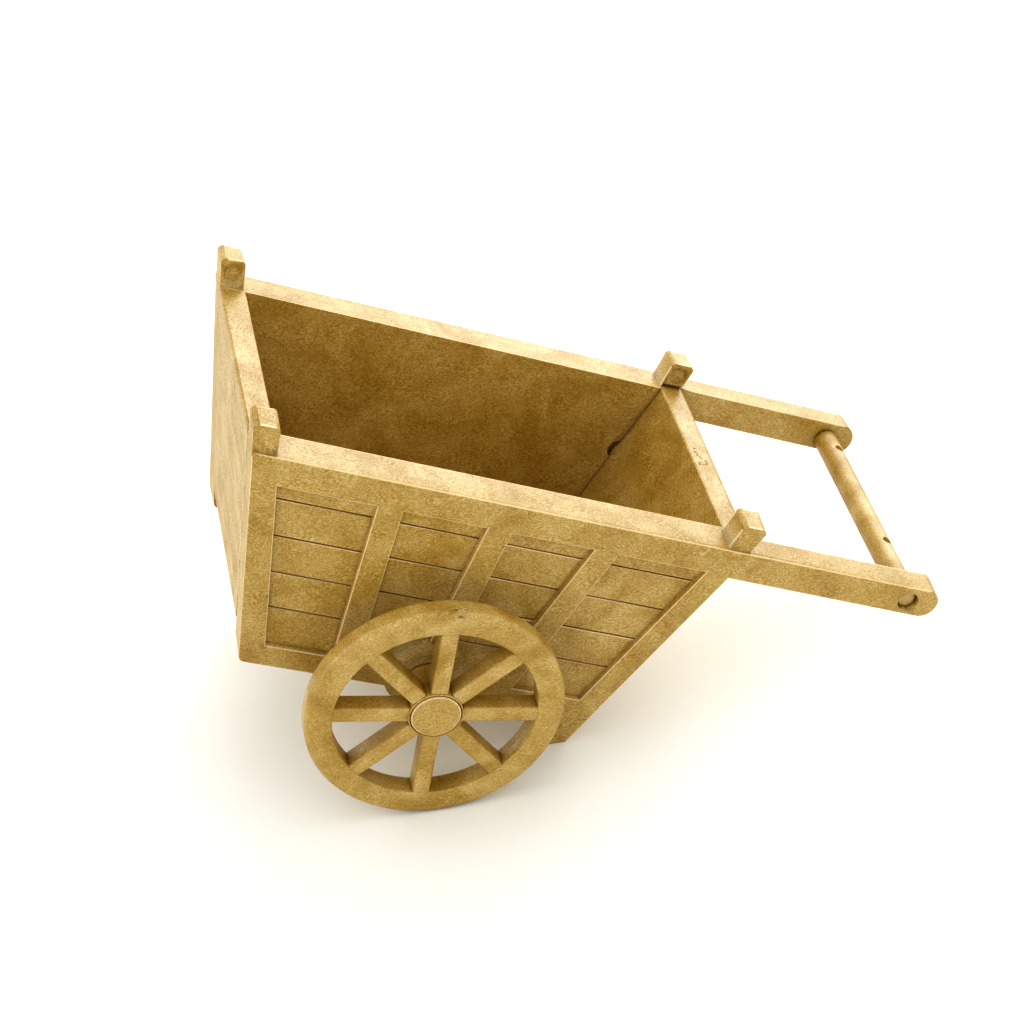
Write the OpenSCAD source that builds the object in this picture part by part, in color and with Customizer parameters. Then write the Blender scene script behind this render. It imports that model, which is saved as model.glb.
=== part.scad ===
// Small two-wheeled hand cart: a box of planked side panels and end boards that flares
// outward on all four sides, two handles joined by a grip bar, and two feet that let the cart
// rest nose up on its wheels.
//
// Every piece is drawn in the cart's own level frame: X runs from the front board to the
// handles, Y runs across the cart and Z runs up from the rail tops. stand() then pitches
// the cart onto its wheels and feet and puts the middle of its footprint at the origin.

/* [Body] */
// Overall width over the two side panels
body_w = 51; // [44:0.5:62]
// Length of the box along the rail tops
body_len = 83.3; // [70:0.5:100]
// Height of the side panels along their own slope, rail top to lower edge
body_h = 40.5; // [34:0.2:48]
// Outward lean of the side panels in degrees
side_lean = 4; // [1:0.5:8]
// Outward lean of the front end in degrees
front_lean = 15.9; // [10:0.5:20]
// Outward lean of the side panels' handle end in degrees
rear_lean = 15.5; // [10:0.1:20]
// Nose-up pitch at rest in degrees
rest_pitch = 24; // [18:0.5:28]

/* [Side panels] */
// Thickness of a side panel
panel_t = 5.8; // [4.8:0.1:7]
// Height of the rail along the top
top_rail_h = 5.2; // [4:0.1:7]
// Height of the rail along the bottom
bottom_rail_h = 4.1; // [3:0.1:5]
// Width of the stile at each end
stile_w = 4.2; // [3:0.1:6]
// Width of the battens between the stiles
batten_w = 4.2; // [3:0.1:5]
// How far each batten's top stands from an even spacing
batten_shift = [1.2, 0.15, -0.5];
// Extra lean of each batten towards the handles in degrees
batten_splay = [0, 0, 2.5];
// Depth of the planked bays below the frame
recess_d = 0.9; // [0.5:0.1:1.4]
// Height of one plank
plank_h = 7; // [5:0.1:9]
// Drop from the rail top to the side panels' first plank joint
first_joint_drop = 7.9; // [6:0.1:9.5]
// Width of the joint between two planks
joint_w = 0.35; // [0.2:0.05:0.6]
// Depth of the joint between two planks
joint_d = 0.35; // [0.2:0.05:0.6]
// Distance from a plank joint's end to the upright beside it
joint_in = 0.1; // [0.05:0.05:0.3]
// Radius of the lower front corner
toe_r = 1.3; // [0.5:0.1:2.5]
// Radius of the foot's back edge
foot_r = 2; // [0.8:0.1:2.4]

/* [Handles and grip bar] */
// Length of the handles past the rail tops' end
handle_len = 36; // [28:0.5:45]
// Height of a handle
handle_h = 5.5; // [5.4:0.1:7]
// Thickness of a handle
handle_t = 4.4; // [3.8:0.1:5]
// Radius of the handle's nose
nose_r = 2.6; // [1:0.1:2.7]
// Diameter of the grip bar
grip_d = 4; // [3.6:0.1:4.8]
// Distance from the handle's end back to the grip bar's centre
grip_back = 5.25; // [4:0.05:8]
// Drop from the rail top to the grip bar's centre
grip_drop = 2.95; // [2.4:0.05:3.1]
// Diameter of the grip bar's end spigots
spigot_d = 2.9; // [2:0.1:3.2]
// Radial play of a spigot in its bore
spigot_play = 0.3; // [0.1:0.05:0.4]
// Depth of the spigot's end below the handle's outer face
spigot_sunk = 0.9; // [0.3:0.1:1.5]
// Side play of the grip bar against each handle
grip_side_play = 0.2; // [0.1:0.05:0.4]
// Diameter of the eyelet holes in the grip bar
eyelet_d = 1.7; // [1:0.1:2]
// Distance from the bar's left shoulder to the left eyelet's centre
left_eyelet_in = 9.5; // [3:0.1:12]
// Distance from the bar's right shoulder to the right eyelet's centre
right_eyelet_in = 5; // [3:0.1:12]
// Depth of an eyelet hole from the bar's surface
eyelet_depth = 2.6; // [1.5:0.1:3.4]
// Turn of the eyelets above the handles' direction in degrees
eyelet_turn = 80; // [0:5:90]

/* [Posts] */
// Length of a corner post along the rail
post_len = 4.2; // [3.5:0.1:6]
// Width of a corner post across the rail
post_w = 4.7; // [4:0.1:5.6]
// Height of a corner post above the rail
post_h = 4.8; // [3.5:0.1:7]
// Distance from the front post to the end of the rail
front_post_in = 0.05; // [0:0.05:2]
// Distance that the rear post stands past the box's end
rear_post_past = 0.2; // [0:0.1:2]
// Lean of the rear posts towards the handles in degrees
rear_post_lean = 8; // [0:0.5:16]
// Radius of a post's upper edges
post_r = 0.9; // [0.3:0.1:1.5]
// Diameter of the moulding mark on a post's inner face
mark_d = 3; // [2:0.1:3.4]
// Depth of the moulding mark
mark_depth = 0.35; // [0.1:0.05:0.4]

/* [End boards and floor] */
// Thickness of the front board
front_board_t = 4.4; // [3.2:0.1:5.2]
// Distance that the front board stands inside the panels' ends
front_board_in = 0; // [0:0.05:1]
// Drop from the rail top to the front board's first plank joint
board_joint_drop = 3.8; // [3:0.1:6]
// Thickness of the rear board
rear_board_t = 5.1; // [3.8:0.1:5.6]
// Distance that the rear board's top stands past the panels' ends
rear_board_past = 1.2; // [0:0.1:1.8]
// Outward lean of the rear board in degrees
rear_board_lean = 14.1; // [10:0.1:20]
// Radius of the rear board's upper back edge
board_edge_r = 1.3; // [0.5:0.1:2]
// Height of the end boards' lower edges above the panels' lower edge
board_rise = 4.2; // [2:0.1:6]
// Height of the floor's underside above the panels' lower edge
floor_rise = 5.8; // [5:0.1:8]
// Thickness of the floor
floor_t = 2.8; // [2:0.1:4]
// Drop from the rail top to the end boards' upper pegs
high_peg_drop = 8.6; // [7:0.1:11]
// Height of the end boards' lower pegs above the boards' lower edge
low_peg_rise = 5; // [4:0.1:7]
// Distance of the floor's pegs from the end boards
floor_peg_in = 8; // [5:0.5:14]
// Clearance between boards, floor and panels at each joint
board_gap = 0.12; // [0.05:0.01:0.25]
// Diameter of the locating pegs
peg_d = 2; // [1.5:0.1:2.4]
// Length of a locating peg
peg_len = 1.6; // [1:0.1:2.2]
// Radial clearance of a peg in its socket
peg_play = 0.05; // [0.03:0.01:0.1]
// Diameter of the half-round moulding pocket beside the rear board
pocket_d = 3.5; // [3:0.1:6]
// Drop from the rail top to the moulding pocket's centre
pocket_drop = 13.1; // [11:0.1:16]
// Distance of the pocket's centre behind the rear board's inner face
pocket_in = 0.4; // [0:0.1:1]
// Depth of the half-round moulding pocket
pocket_depth = 1.2; // [0.5:0.1:2]

/* [Wheels] */
// Outer diameter of a wheel
wheel_d = 41.6; // [34:0.5:52]
// Thickness of a wheel
wheel_t = 3.9; // [3.4:0.1:5.5]
// Radial width of the rim
rim_w = 4.4; // [3:0.1:6]
// Radius of the rim's outer edges
rim_edge_r = 1; // [0.4:0.1:1.6]
// Number of spokes
spokes = 8; // [6:1:12]
// Width of a spoke
spoke_w = 2.8; // [2:0.1:3.6]
// Depth of a spoke's faces below the rim's faces
spoke_sunk = 0.2; // [0.1:0.05:0.5]
// Diameter of the wheel's hub
hub_d = 8.9; // [8.7:0.1:12]
// Diameter of the hub's barrel behind the wheel
barrel_d = 7.6; // [6.5:0.1:8.4]
// Turn of a wheel's first spoke in degrees
wheel_turn = 12.4; // [0:0.1:45]
// Distance from the box's front end back to the axle, at the rail tops' level
axle_x = 41.45; // [36:0.05:48]
// Height of the axle above the panels' lower edge
axle_rise = 4.2; // [3:0.1:5.5]
// Distance from the panel's outer face to the back of the wheel
wheel_standoff = 6.6; // [5:0.05:9]

/* [Wheel pins and bosses] */
// Diameter of a wheel pin's shank
pin_d = 3.5; // [2.5:0.1:4]
// Diameter of a wheel pin's head
pin_head_d = 8.1; // [7:0.1:8.3]
// Thickness of a wheel pin's head
pin_head_t = 1.2; // [0.8:0.1:2]
// Distance that the pin's head stands out of the hub
pin_proud = 0.15; // [0:0.05:0.5]
// Depth of a pin in the side panel
pin_grip = 4.5; // [3:0.1:5]
// Radial running clearance of a wheel on its pin
running_gap = 0.06; // [0.02:0.01:0.1]
// Radial clearance around the pin's head
head_gap = 0.15; // [0.1:0.05:0.25]
// Side play of a wheel at its head and at its collar
side_play = 0.15; // [0.1:0.05:0.3]
// Diameter of the round boss on the side panel
boss_d = 13.5; // [11:0.1:15]
// Height of the boss above the panel's frame
boss_h = 0.6; // [0.3:0.1:2]
// Diameter of the collar on the boss
collar_d = 8.6; // [8:0.1:11]
// Height of the collar above the panel's frame
collar_h = 2; // [1.2:0.1:3.5]

/* [Hidden] */

$fn = 64;
wood_tan = "#c39a55";
wood_honey = "#c9a25f";
wood_shade = "#a9812f";
// Overshoot of every cutting tool
over = 1;

front_slope = tan(front_lean);
rear_slope = tan(rear_lean);
board_slope = tan(rear_board_lean);
lean_sin = sin(side_lean);
lean_cos = cos(side_lean);
half_w = body_w / 2;
inner_half = half_w - panel_t;
handle_inner = half_w - handle_t;
handle_end = body_len + handle_len;
recess_top = -top_rail_h;
recess_floor = -(body_h - bottom_rail_h);
panel_bottom = -body_h * lean_cos;
board_top = panel_t * lean_sin;
board_bottom = panel_bottom + board_rise;
floor_bottom = panel_bottom + floor_rise;
floor_top = floor_bottom + floor_t;

// Distance from the cart's middle plane to a leaning side panel at height z,
// at depth t below the panel's outer face
function wall_y(t, z) = half_w - (t - z * lean_sin) / lean_cos;

wheel_r = wheel_d / 2;
axle_z = panel_bottom + axle_rise;
axle_wall_y = wall_y(0, axle_z);
wheel_back = axle_wall_y + wheel_standoff;
wheel_face = wheel_back + wheel_t;
grip_x = handle_end - grip_back;
grip_z = -grip_drop;

// Front and rear edges of a side panel, drawn upright, at height z
function front_x(z) = -z * front_slope * lean_cos;
function rear_x(z) = body_len + z * rear_slope * lean_cos;
// Faces of the end boards at height z
function front_board_outer_x(z) = front_board_in - z * front_slope;
function front_board_inner_x(z) = front_board_outer_x(z) + front_board_t;
function rear_board_inner_x(z) = body_len + rear_board_past - rear_board_t + z * board_slope;

// The ground, as the line that touches the wheel at the rest pitch
touch_x = axle_x + wheel_r * sin(rest_pitch);
touch_z = axle_z - wheel_r * cos(rest_pitch);
// Height, on an upright drawing of the panel, at which the ground crosses a line that
// leans with the rear edge and has its top at x_top
function ground_z(x_top) = (touch_z + (x_top - touch_x) * tan(rest_pitch))
    / (lean_cos * (1 - rear_slope * tan(rest_pitch)));
// The feet are drawn longer by this much and then cut level
foot_spare = panel_t * lean_sin + 0.2;
foot_back_z = ground_z(body_len) - foot_spare;
foot_front_z = ground_z(body_len - stile_w) - foot_spare;

// Place of the standing cart: x and z of a cart point after the pitch
function pitched_x(p) = p[0] * cos(rest_pitch) + p[1] * sin(rest_pitch);
function pitched_z(p) = -p[0] * sin(rest_pitch) + p[1] * cos(rest_pitch);
toe_z = -(body_h - toe_r);
toe_centre = [toe_r / cos(front_lean) + front_x(toe_z), toe_z * lean_cos];
nose_centre = [handle_end - nose_r, handle_t * lean_sin - nose_r * lean_cos];
// Reach of a rounded corner of a leaning panel along the ground
function reach(r) = r * norm([cos(rest_pitch), sin(rest_pitch) * lean_cos]);
stand_low_x = pitched_x(toe_centre) - reach(toe_r);
stand_high_x = pitched_x(nose_centre) + reach(nose_r);
stand_ground = pitched_z([touch_x, touch_z]);

// Outline with rounded corners, from a list of [x, y, radius]
function unit(v) = v / norm(v);
function corner(p, c, n) = let(
        a = unit([p[0] - c[0], p[1] - c[1]]),
        b = unit([n[0] - c[0], n[1] - c[1]]),
        half = acos(min(1, max(-1, a * b))) / 2,
        mid = unit(a + b),
        centre = [c[0], c[1]] + mid * c[2] / sin(half),
        side = sign(a[0] * b[1] - a[1] * b[0]),
        from = atan2(-mid[1], -mid[0]) + side * (90 - half),
        steps = 8
    )
    c[2] == 0
        ? [[c[0], c[1]]]
        : [for (i = [0:steps])
            let(t = from - side * 2 * (90 - half) * i / steps)
            centre + c[2] * [cos(t), sin(t)]];
function rounded(pts) = let(n = len(pts))
    [for (i = [0:n - 1])
        each corner(pts[(i + n - 1) % n], pts[i], pts[(i + 1) % n])];

// Slab of the drawn outline between two places across the cart
module slab(y_low, y_high) {
    translate([0, y_high, 0])
        rotate([90, 0, 0])
            linear_extrude(y_high - y_low)
                children();
}

// Cylinder along Y between two places across the cart
module cross_rod(x, z, y_low, y_high, d) {
    translate([x, y_high, z])
        rotate([90, 0, 0])
            cylinder(h = y_high - y_low, d = d);
}

// The cart as it rests, with the middle of its footprint at the origin
module stand() {
    translate([-(stand_low_x + stand_high_x) / 2, 0, -stand_ground])
        rotate([0, rest_pitch, 0])
            children();
}

// Leans an upright drawing of the left side panel outward about its outer top edge
module lean() {
    translate([0, -half_w, 0])
        rotate([side_lean, 0, 0])
            translate([0, half_w, 0])
                children();
}

// Space between the leaning side panels, to a depth t below their outer faces
module between_walls(t) {
    low = panel_bottom;
    high = over + board_top;
    low_y = wall_y(t, low) - board_gap;
    high_y = wall_y(t, high) - board_gap;
    rotate([90, 0, 90])
        linear_extrude(handle_end)
            polygon([[-high_y, high], [high_y, high], [low_y, low], [-low_y, low]]);
}

// Pieces are drawn for the left side, at negative Y, and mirrored for the right
module on_side(right) {
    mirror([0, right ? 1 : 0, 0])
        children();
}

// Uprights of a side panel: centre at the rail top, width and slope below it.
// The battens fan evenly between the leans of the two ends.
upright_count = len(batten_shift) + 2;
first_upright = stile_w / 2;
upright_pitch = (body_len - stile_w) / (upright_count - 1);
function upright_top(i) = first_upright + i * upright_pitch
    + (i == 0 || i == upright_count - 1 ? 0 : batten_shift[i - 1]);
function upright_w(i) = i == 0 || i == upright_count - 1 ? stile_w : batten_w;
function upright_slope(i) = lean_cos * (
    i == 0 ? -front_slope
    : i == upright_count - 1 ? rear_slope
    : -front_slope + (front_slope + rear_slope) * upright_top(i) / body_len
        + tan(batten_splay[i - 1]));
function upright_edge(i, z, side) =
    upright_top(i) + side * upright_w(i) / 2 + z * upright_slope(i);

// Heights of the joints between planks, from the first one down to a lower limit
function joint_heights(first, lowest) =
    [for (z = -first; z > lowest; z = z - plank_h) z];

// Pegs of the end boards, as [x, z] on the board's middle, and of the floor
peg_heights = [-high_peg_drop, board_bottom + low_peg_rise];
front_pegs = [for (z = peg_heights) [front_board_outer_x(z) + front_board_t / 2, z]];
rear_pegs = [for (z = peg_heights) [rear_board_inner_x(z) + rear_board_t / 2, z]];
floor_mid_z = (floor_top + floor_bottom) / 2;
floor_pegs = [
    [front_board_inner_x(floor_mid_z) + floor_peg_in, floor_mid_z],
    [rear_board_inner_x(floor_mid_z) - floor_peg_in, floor_mid_z]
];

module body_outline() {
    polygon(rounded([
        [0, 0, 0.4],
        [body_len, 0, 0],
        [rear_x(foot_back_z), foot_back_z, foot_r],
        [rear_x(foot_front_z) - stile_w, foot_front_z, 0],
        [rear_x(-body_h) - stile_w, -body_h, 0.6],
        [front_x(-body_h), -body_h, toe_r]
    ]));
}

module handle_outline() {
    polygon(rounded([
        [body_len - stile_w, 0, 0],
        [handle_end, 0, nose_r],
        [handle_end, -handle_h, nose_r],
        [body_len - stile_w, -handle_h, 0]
    ]));
}

module front_post_outline() {
    polygon(rounded([
        [front_post_in, 0, 0],
        [front_post_in + front_x(post_h), post_h, post_r],
        [front_post_in + post_len + front_x(post_h), post_h, post_r],
        [front_post_in + post_len, 0, 0],
        [front_post_in + post_len, -1, 0],
        [front_post_in, -1, 0]
    ]));
}

module rear_post_outline() {
    foot_x = body_len + rear_post_past;
    top_x = foot_x + post_h * tan(rear_post_lean);
    polygon(rounded([
        [foot_x - post_len, 0, 0],
        [top_x - post_len, post_h, post_r],
        [top_x, post_h, post_r],
        [foot_x, 0, 0],
        [foot_x, -1, 0],
        [foot_x - post_len, -1, 0]
    ]));
}

// Planked bay between upright i and the next one
module bay_outline(i) {
    polygon([
        [upright_edge(i, recess_top, 1), recess_top],
        [upright_edge(i + 1, recess_top, -1), recess_top],
        [upright_edge(i + 1, recess_floor, -1), recess_floor],
        [upright_edge(i, recess_floor, 1), recess_floor]
    ]);
}

module bays() {
    for (i = [0:upright_count - 2])
        slab(-half_w - over, -half_w + recess_d)
            bay_outline(i);
}

// Plank joints cut into the floor of each bay
module bay_joints() {
    for (i = [0:upright_count - 2])
        for (z = joint_heights(first_joint_drop, recess_floor + 2 * joint_w))
            slab(-half_w - over, -half_w + recess_d + joint_d)
                polygon([
                    [upright_edge(i, z, 1) + joint_in, z],
                    [upright_edge(i + 1, z, -1) - joint_in, z],
                    [upright_edge(i + 1, z - joint_w, -1) - joint_in, z - joint_w],
                    [upright_edge(i, z - joint_w, 1) + joint_in, z - joint_w]
                ]);
}

// Seat for the rear board, as deep as the step between panel and handle
module rear_board_seat() {
    past = body_len;
    intersection() {
        slab(-half_w - over, 0)
            polygon([
                [rear_board_inner_x(over), over],
                [rear_board_inner_x(over) + past, over],
                [rear_board_inner_x(board_bottom) + past, board_bottom],
                [rear_board_inner_x(board_bottom), board_bottom]
            ]);
        lean()
            translate([0, -handle_inner, -2 * body_h])
                cube([2 * handle_end, half_w, 3 * body_h]);
    }
}

// Socket along Y from a side panel's inner face, at depth t below its outer face
module socket(p, t, d, depth) {
    wall = wall_y(t, p[1]);
    cross_rod(p[0], p[1], -wall - depth, -wall + over, d);
}

module peg_sockets() {
    depth = peg_len + 2 * board_gap;
    socket_d = peg_d + 2 * peg_play;
    for (p = concat(front_pegs, floor_pegs))
        socket(p, panel_t, socket_d, depth);
    for (p = rear_pegs)
        socket(p, handle_t, socket_d, depth);
}

// Half-round moulding pocket that shows beside the rear board
module moulding_pocket() {
    socket([rear_board_inner_x(-pocket_drop) + pocket_in, -pocket_drop],
        panel_t, pocket_d, pocket_depth);
}

module post_marks() {
    post_mid = post_h * 0.5;
    front_mid = front_post_in + post_len / 2 + front_x(post_mid);
    rear_mid = body_len + rear_post_past - post_len / 2 + post_mid * tan(rear_post_lean);
    inner_face = -half_w + (panel_t + post_w) / 2;
    for (x = [front_mid, rear_mid])
        cross_rod(x, post_mid, inner_face - mark_depth, inner_face + over, mark_d);
}

// Everything below the ground that the cart rests on
module below_ground() {
    cut_size = 3 * body_h;
    translate([touch_x, 0, touch_z])
        rotate([0, -rest_pitch, 0])
            translate([-cut_size, -cut_size, -cut_size])
                cube([2 * cut_size, 2 * cut_size, cut_size]);
}

// Side panel drawn upright, before it leans
module upright_panel() {
    post_out = -half_w + (panel_t - post_w) / 2;
    difference() {
        union() {
            difference() {
                union() {
                    slab(-half_w, -inner_half) body_outline();
                    slab(-half_w, -handle_inner) handle_outline();
                }
                bays();
                bay_joints();
            }
            slab(post_out, post_out + post_w) front_post_outline();
            slab(post_out, post_out + post_w) rear_post_outline();
            cross_rod(axle_x, axle_z / lean_cos, -half_w - boss_h, -inner_half, boss_d);
        }
        post_marks();
    }
}

module side_panel() {
    difference() {
        union() {
            lean() upright_panel();
            cross_rod(axle_x, axle_z, -axle_wall_y - collar_h, -axle_wall_y + over, collar_d);
        }
        rear_board_seat();
        peg_sockets();
        moulding_pocket();
        below_ground();
        cross_rod(axle_x, axle_z, -axle_wall_y - collar_h - over, -axle_wall_y + pin_grip, pin_d);
        cross_rod(grip_x, grip_z, -half_w - over, -wall_y(panel_t, -handle_h),
            spigot_d + 2 * spigot_play);
    }
}

module left_side_panel() {
    color(wood_tan) stand() on_side(false) side_panel();
}

module right_side_panel() {
    color(wood_tan) stand() on_side(true) side_panel();
}

// Pegs on both ends of a board that fits between walls at depth t
module pegs(places, t) {
    for (p = places) {
        half_len = wall_y(t, p[1]) - board_gap + peg_len;
        cross_rod(p[0], p[1], -half_len, half_len, peg_d);
    }
}

module front_board() {
    color(wood_honey)
        stand() {
            intersection() {
                difference() {
                    slab(-half_w, half_w)
                        polygon(rounded([
                            [front_board_outer_x(board_top), board_top, 0.4],
                            [front_board_inner_x(board_top), board_top, 0.4],
                            [front_board_inner_x(board_bottom), board_bottom, 0],
                            [front_board_outer_x(board_bottom), board_bottom, 0.4]
                        ]));
                    for (z = joint_heights(board_joint_drop, board_bottom + joint_w))
                        slab(-half_w - over, half_w + over)
                            polygon([
                                [front_board_outer_x(z) - over, z],
                                [front_board_outer_x(z) + joint_d, z],
                                [front_board_outer_x(z - joint_w) + joint_d, z - joint_w],
                                [front_board_outer_x(z - joint_w) - over, z - joint_w]
                            ]);
                }
                between_walls(panel_t);
            }
            pegs(front_pegs, panel_t);
        }
}

module rear_board() {
    bottom = board_bottom + board_gap;
    color(wood_honey)
        stand() {
            intersection() {
                difference() {
                    slab(-half_w, half_w)
                        polygon(rounded([
                            [rear_board_inner_x(board_top), board_top, 0.4],
                            [rear_board_inner_x(board_top) + rear_board_t, board_top, board_edge_r],
                            [rear_board_inner_x(bottom) + rear_board_t, bottom, 0.4],
                            [rear_board_inner_x(bottom), bottom, 0]
                        ]));
                    for (z = joint_heights(board_joint_drop, board_bottom + joint_w))
                        slab(-half_w - over, half_w + over)
                            translate([rear_board_t, 0])
                                polygon([
                                    [rear_board_inner_x(z) + over, z],
                                    [rear_board_inner_x(z) - joint_d, z],
                                    [rear_board_inner_x(z - joint_w) - joint_d, z - joint_w],
                                    [rear_board_inner_x(z - joint_w) + over, z - joint_w]
                                ]);
                }
                between_walls(handle_t);
            }
            pegs(rear_pegs, handle_t);
        }
}

module floor_board() {
    color(wood_shade)
        stand() {
            intersection() {
                slab(-half_w, half_w)
                    polygon([
                        [front_board_inner_x(floor_top) + board_gap, floor_top],
                        [rear_board_inner_x(floor_top) - board_gap, floor_top],
                        [rear_board_inner_x(floor_bottom) - board_gap, floor_bottom],
                        [front_board_inner_x(floor_bottom) + board_gap, floor_bottom]
                    ]);
                between_walls(panel_t);
            }
            pegs(floor_pegs, panel_t);
        }
}

// Rim profile, as [radius, distance from the wheel's middle]
module rim_outline() {
    polygon(rounded([
        [wheel_r - rim_w, -wheel_t / 2, 0.2],
        [wheel_r, -wheel_t / 2, rim_edge_r],
        [wheel_r, wheel_t / 2, rim_edge_r],
        [wheel_r - rim_w, wheel_t / 2, 0.2]
    ]));
}

// Wheel about Z, its outer face up and its back at z = 0
module wheel() {
    barrel = wheel_standoff - collar_h - side_play;
    spoke_t = wheel_t - 2 * spoke_sunk;
    difference() {
        union() {
            translate([0, 0, wheel_t / 2])
                rotate_extrude($fn = 128)
                    rim_outline();
            for (i = [0:spokes - 1])
                rotate([0, 0, wheel_turn + i * 360 / spokes])
                    translate([0, -spoke_w / 2, spoke_sunk])
                        cube([wheel_r - rim_w / 2, spoke_w, spoke_t]);
            cylinder(h = wheel_t, d = hub_d);
            translate([0, 0, -barrel])
                cylinder(h = barrel + wheel_t / 2, d = barrel_d);
        }
        translate([0, 0, -barrel - over])
            cylinder(h = barrel + wheel_t + 2 * over, d = pin_d + 2 * running_gap);
        translate([0, 0, wheel_t + pin_proud - pin_head_t - side_play])
            cylinder(h = pin_head_t + over, d = pin_head_d + 2 * head_gap);
    }
}

// Wheel on its axle line beside the left panel
module wheel_in_place() {
    translate([axle_x, -wheel_back, axle_z])
        rotate([90, 0, 0])
            wheel();
}

module left_wheel() {
    color(wood_honey) stand() on_side(false) wheel_in_place();
}

module right_wheel() {
    color(wood_honey) stand() on_side(true) wheel_in_place();
}

// Headed pin: the wheel turns on its shank, and its end is pressed into the side panel
module wheel_pin() {
    head_top = wheel_face + pin_proud;
    head_chamfer = 0.15;
    cross_rod(axle_x, axle_z, -head_top + pin_head_t / 2, -axle_wall_y + pin_grip, pin_d);
    translate([axle_x, -head_top + pin_head_t, axle_z])
        rotate([90, 0, 0])
            rotate_extrude()
                polygon([
                    [0, 0],
                    [pin_head_d / 2, 0],
                    [pin_head_d / 2, pin_head_t - head_chamfer],
                    [pin_head_d / 2 - head_chamfer, pin_head_t],
                    [0, pin_head_t]
                ]);
}

module left_wheel_pin() {
    color(wood_tan) stand() on_side(false) wheel_pin();
}

module right_wheel_pin() {
    color(wood_tan) stand() on_side(true) wheel_pin();
}

module grip_bar() {
    half_bar = wall_y(handle_t, grip_z - grip_d / 2) - grip_side_play;
    half_spigot = wall_y(spigot_sunk, grip_z);
    color(wood_honey)
        stand()
            difference() {
                union() {
                    cross_rod(grip_x, grip_z, -half_bar, half_bar, grip_d);
                    cross_rod(grip_x, grip_z, -half_spigot, half_spigot, spigot_d);
                }
                for (y = [left_eyelet_in - half_bar, half_bar - right_eyelet_in])
                    translate([grip_x, y, grip_z])
                        rotate([0, 90 - eyelet_turn, 0])
                            translate([0, 0, grip_d / 2 - eyelet_depth])
                                cylinder(h = eyelet_depth + over, d = eyelet_d);
            }
}

left_side_panel();
right_side_panel();
front_board();
rear_board();
floor_board();
left_wheel();
right_wheel();
left_wheel_pin();
right_wheel_pin();
grip_bar();
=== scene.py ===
"""Looks of a small moulded hand cart: softened panels and boards, turned wheels, resin, stage."""

import math
import random

import bmesh
import bpy
from bpy.props import FloatProperty, FloatVectorProperty, IntProperty, PointerProperty
from mathutils import Matrix, Vector, noise
from mathutils.bvhtree import BVHTree


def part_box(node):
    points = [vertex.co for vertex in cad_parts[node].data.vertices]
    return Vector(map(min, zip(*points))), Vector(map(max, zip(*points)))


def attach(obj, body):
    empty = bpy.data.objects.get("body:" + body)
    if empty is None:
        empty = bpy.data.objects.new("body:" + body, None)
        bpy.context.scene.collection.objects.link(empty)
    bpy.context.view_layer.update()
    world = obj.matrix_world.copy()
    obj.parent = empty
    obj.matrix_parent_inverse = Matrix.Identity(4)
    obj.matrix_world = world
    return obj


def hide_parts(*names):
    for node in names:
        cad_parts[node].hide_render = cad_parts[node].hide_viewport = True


bl_info = {
    "name": "Hand Cart Looks",
    "version": (1, 0, 0),
    "blender": (4, 5, 0),
    "location": "View3D > Sidebar > Hand Cart",
    "description": "Builds the pieces, finishes and stage of a small moulded hand cart",
    "category": "Object",
}

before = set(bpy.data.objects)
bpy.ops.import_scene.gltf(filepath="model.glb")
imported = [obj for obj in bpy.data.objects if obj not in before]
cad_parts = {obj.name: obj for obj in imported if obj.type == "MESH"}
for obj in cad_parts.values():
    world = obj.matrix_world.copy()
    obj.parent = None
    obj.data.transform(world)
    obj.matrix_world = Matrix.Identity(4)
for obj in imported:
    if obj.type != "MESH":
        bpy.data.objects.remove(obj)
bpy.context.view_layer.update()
MM = 0.001
EDGE_HIGHLIGHT = "worn_edge"             # face layer that is 1 on the rounded edges, which carry a painted highlight
SWIRL, FLECKS, SPOKES = "Resin swirl", "Fine flecks", "Spoked wheel"

# the rails' top faces: a point on them, in millimetres, and their slope
RAIL_X, RAIL_Z, RAIL_SLOPE = -51.243, 70.731, 0.44523
POST_RISE = 1.0 * MM           # an edge this far above the rails belongs to a corner post
SHARP = math.radians(34)       # an edge that turns less than this is left as it is

RIM_STEPS, HUB_STEPS = 160, 96
SPOKE_PARTS, CORNER_STEPS = 9, 4
RIM_INNER_ROUND = 0.35 * MM
SCAR_PLACE = math.radians(77)  # a rim's gate scar, from level at the handles' side up
CREST = 1.5 * MM               # depth of the band along the rear board's top edge
AWAY = 20 * MM                 # how far outside a piece the line to its scar starts
CRUMBS, CRUMB_SUNK = 16, 0.06 * MM

FLOOR_REACH = 4.0
CAMERA_PLACE = (-0.063322, -0.314798, 0.282611)
CAMERA_TURN = (51.907, 1.942, -11.337)     # in degrees
LAMPS = (                      # name, place and width; the powers are in the panel
    ("key_light", (0.24, 0.74, 0.72), 0.5),
    ("fill_light", (-0.95, -0.05, 0.55), 0.8),
    ("sheen_light", (0.62, 0.82, 0.36), 0.6))


# ---------------------------------------------------------------- sizes and colours

def a_size(name, about, millimetres, least=0.0):
    return FloatProperty(name=name, description=about, default=millimetres * MM, min=least * MM,
                         unit="LENGTH")


def a_colour(name, about, value):
    return FloatVectorProperty(name=name, description=about, default=value, subtype="COLOR",
                               min=0.0, max=1.0)


def a_power(name, about, value):
    return FloatProperty(name=name, description=about, default=value, min=0.0)


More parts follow.
